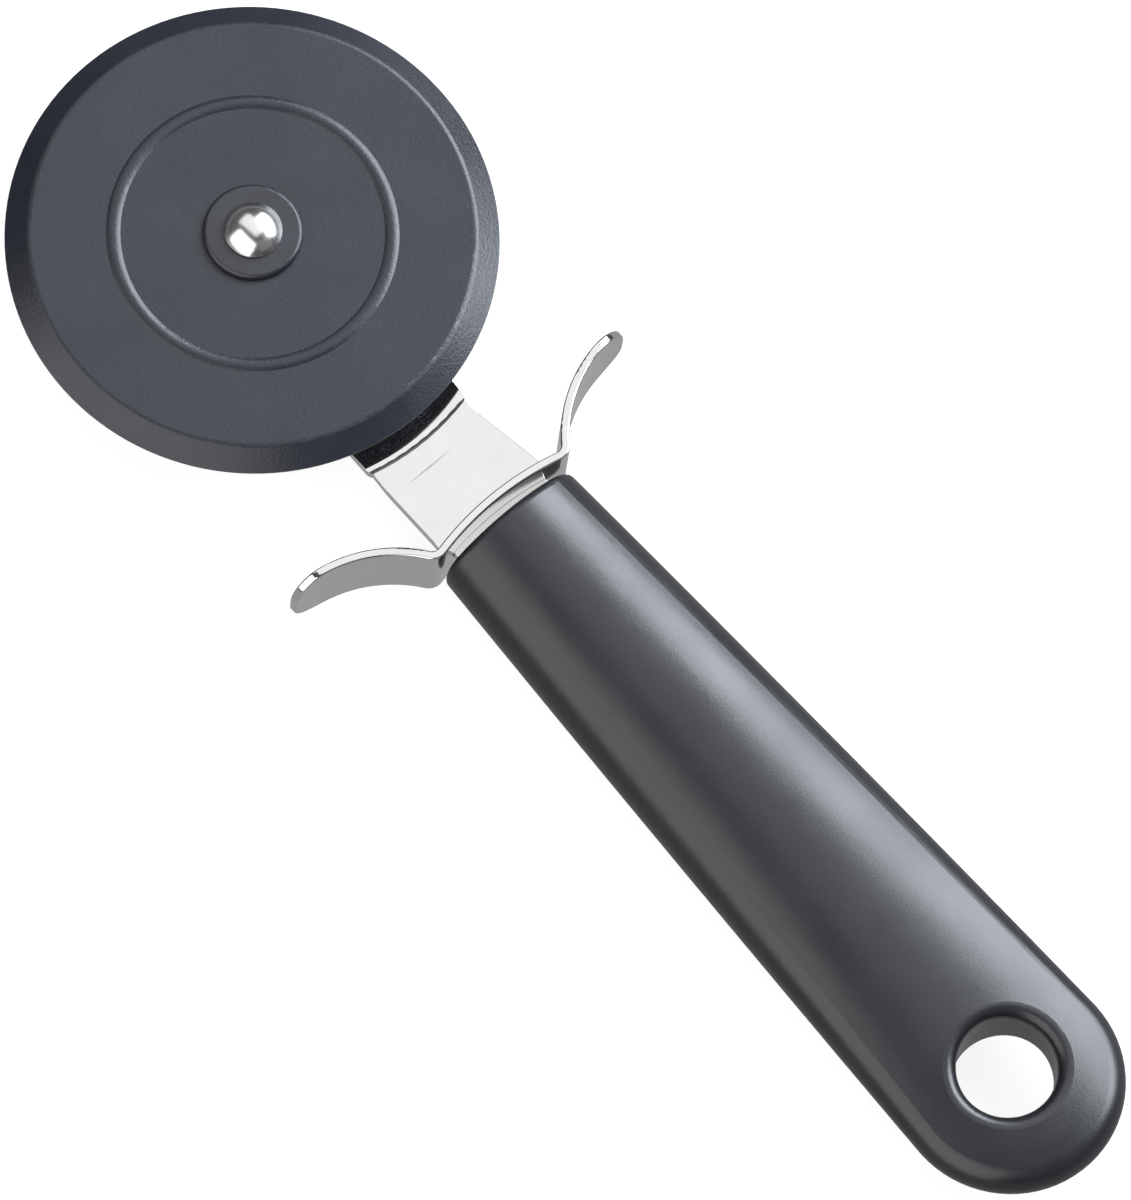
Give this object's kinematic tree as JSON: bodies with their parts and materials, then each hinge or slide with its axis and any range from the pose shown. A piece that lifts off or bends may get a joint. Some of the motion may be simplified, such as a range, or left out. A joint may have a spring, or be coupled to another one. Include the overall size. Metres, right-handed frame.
{
  "type": "pizza cutter wheel",
  "caption": "Hand pizza cutter: a bevelled moulded wheel turns on a rivet at the end of a bent steel arm, with a winged finger guard and an oval handle with a hanging hole.",
  "frame": {"origin": "bottom centre of the whole cutter, lying on the narrow flat of the handle's belly", "axes": "+X from the wheel to the hanging hole, +Z out of the wheel's open face, +Y to the left of the handle"},
  "size_m": [0.1975, 0.065, 0.0161],
  "materials": {
    "wheel_nylon": "glass-filled nylon, moulded with a fine spark texture, blue-grey black",
    "washer_nylon": "nylon, moulded, satin black",
    "rivet_steel": "stainless steel, headed and polished",
    "arm_steel": "stainless steel strip, pressed and polished",
    "guard_steel": "stainless steel strip, bent and polished",
    "handle_plastic": "polypropylene, moulded with a fine satin texture, charcoal"
  },
  "bodies": {
    "body": {"handle": "handle_plastic", "arm": "arm_steel", "finger_guard": "guard_steel", "axle_rivet": "rivet_steel", "front_washer": "washer_nylon", "rear_washer": "washer_nylon"},
    "wheel": {"cutting_wheel": "wheel_nylon"}
  },
  "joints": [
    {"name": "wheel_spin", "type": "hinge", "parent": "body", "child": "wheel", "pos_m": [-0.06625, 0, 0.0104], "axis": [0, 0, 1], "continuous": true}
  ]
}
